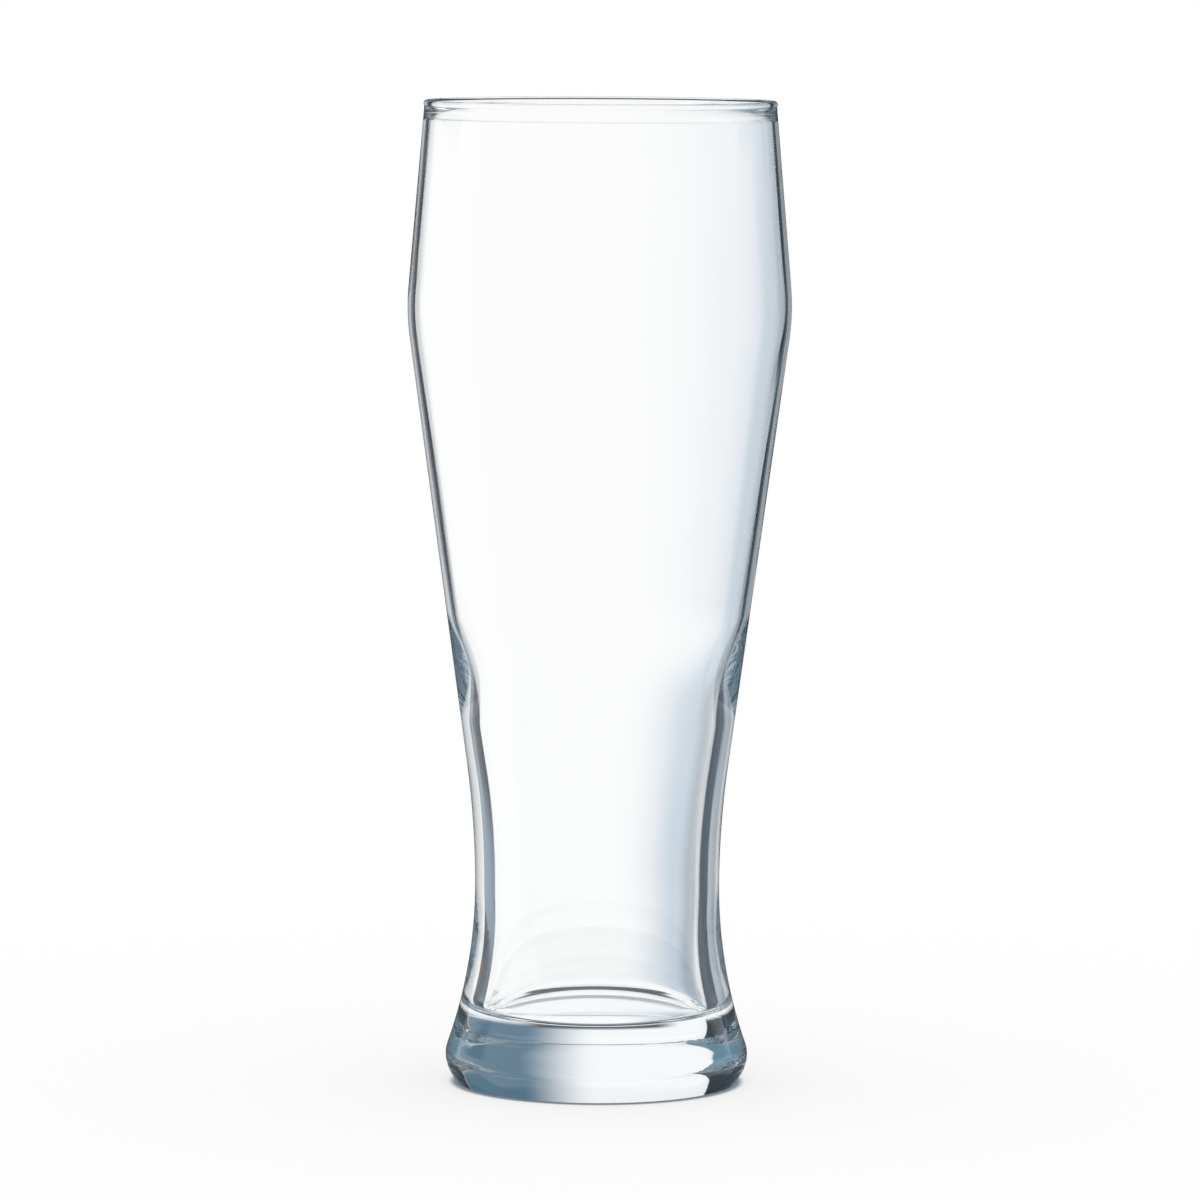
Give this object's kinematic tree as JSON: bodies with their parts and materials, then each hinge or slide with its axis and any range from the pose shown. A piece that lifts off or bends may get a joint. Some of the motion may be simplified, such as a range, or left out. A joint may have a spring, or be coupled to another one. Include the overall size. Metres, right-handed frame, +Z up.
{
  "type": "footed beer glass",
  "caption": "Tall clear beer glass with a rim that leans in, a soft shoulder, a long taper to a hollow thick-walled waist, and a heavy solid flared foot to stand on.",
  "frame": {"origin": "on the table, on the axis of the glass, in the plane of the ring that the foot stands on", "axes": "+Z up along the axis of the glass, towards the rim; the glass is round, so X and Y are any two level directions"},
  "size_m": [0.0856, 0.0856, 0.22],
  "materials": {
    "clear_glass": "clear, fire-polished gloss"
  },
  "bodies": {
    "root": {"bowl": "clear_glass", "foot": "clear_glass"}
  },
  "joints": []
}
